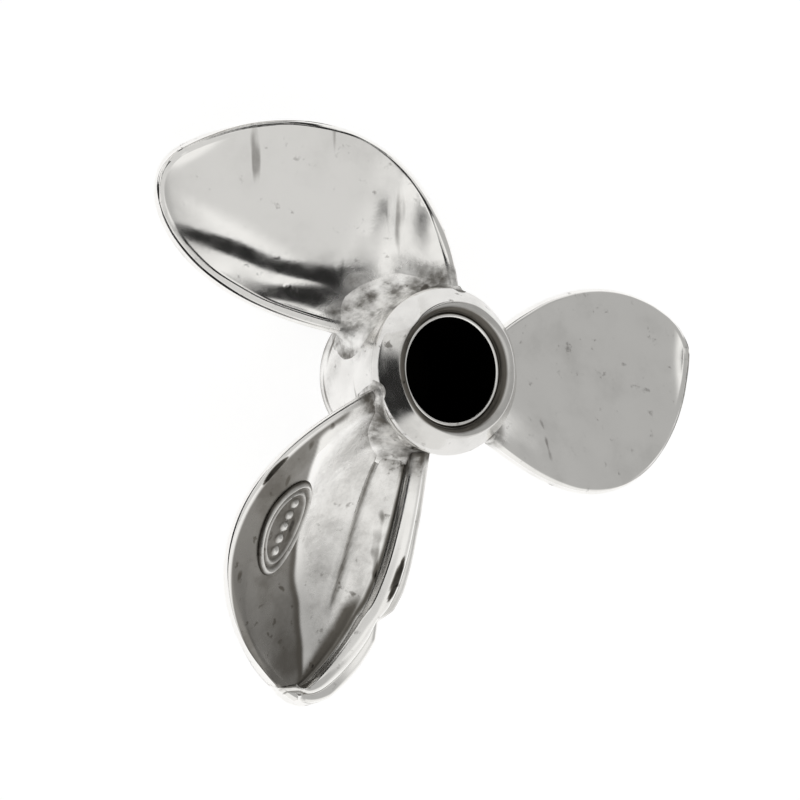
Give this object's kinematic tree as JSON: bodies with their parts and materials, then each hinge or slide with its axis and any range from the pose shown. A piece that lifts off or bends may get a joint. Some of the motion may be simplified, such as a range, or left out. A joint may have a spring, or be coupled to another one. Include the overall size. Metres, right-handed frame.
{
  "type": "boat propeller",
  "caption": "Small polished silver boat propeller with cupped blades round a barrel hub with a blind bore.",
  "frame": {"origin": "centre of the bore at its mouth", "axes": "+Z along the bore, out of its mouth; +X roughly along the blade named side"},
  "size_m": [0.0227, 0.0223, 0.0075],
  "materials": {
    "polished_silver": "polished sterling silver, hand-finished",
    "bore_silver": "bright end, inside darkened by oxide",
    "solder_silver": "grainy as-soldered silver, slightly tarnished",
    "mark_silver": "stamped silver with tarnish in its recesses"
  },
  "bodies": {
    "root": {"hub_barrel": "polished_silver", "bore_sleeve": "bore_silver", "rear_cap": "polished_silver", "blade_upper": "polished_silver", "blade_side": "polished_silver", "blade_lower": "polished_silver", "fillet_upper": "solder_silver", "fillet_side": "solder_silver", "fillet_lower": "solder_silver", "mark_plate": "mark_silver"}
  },
  "joints": []
}
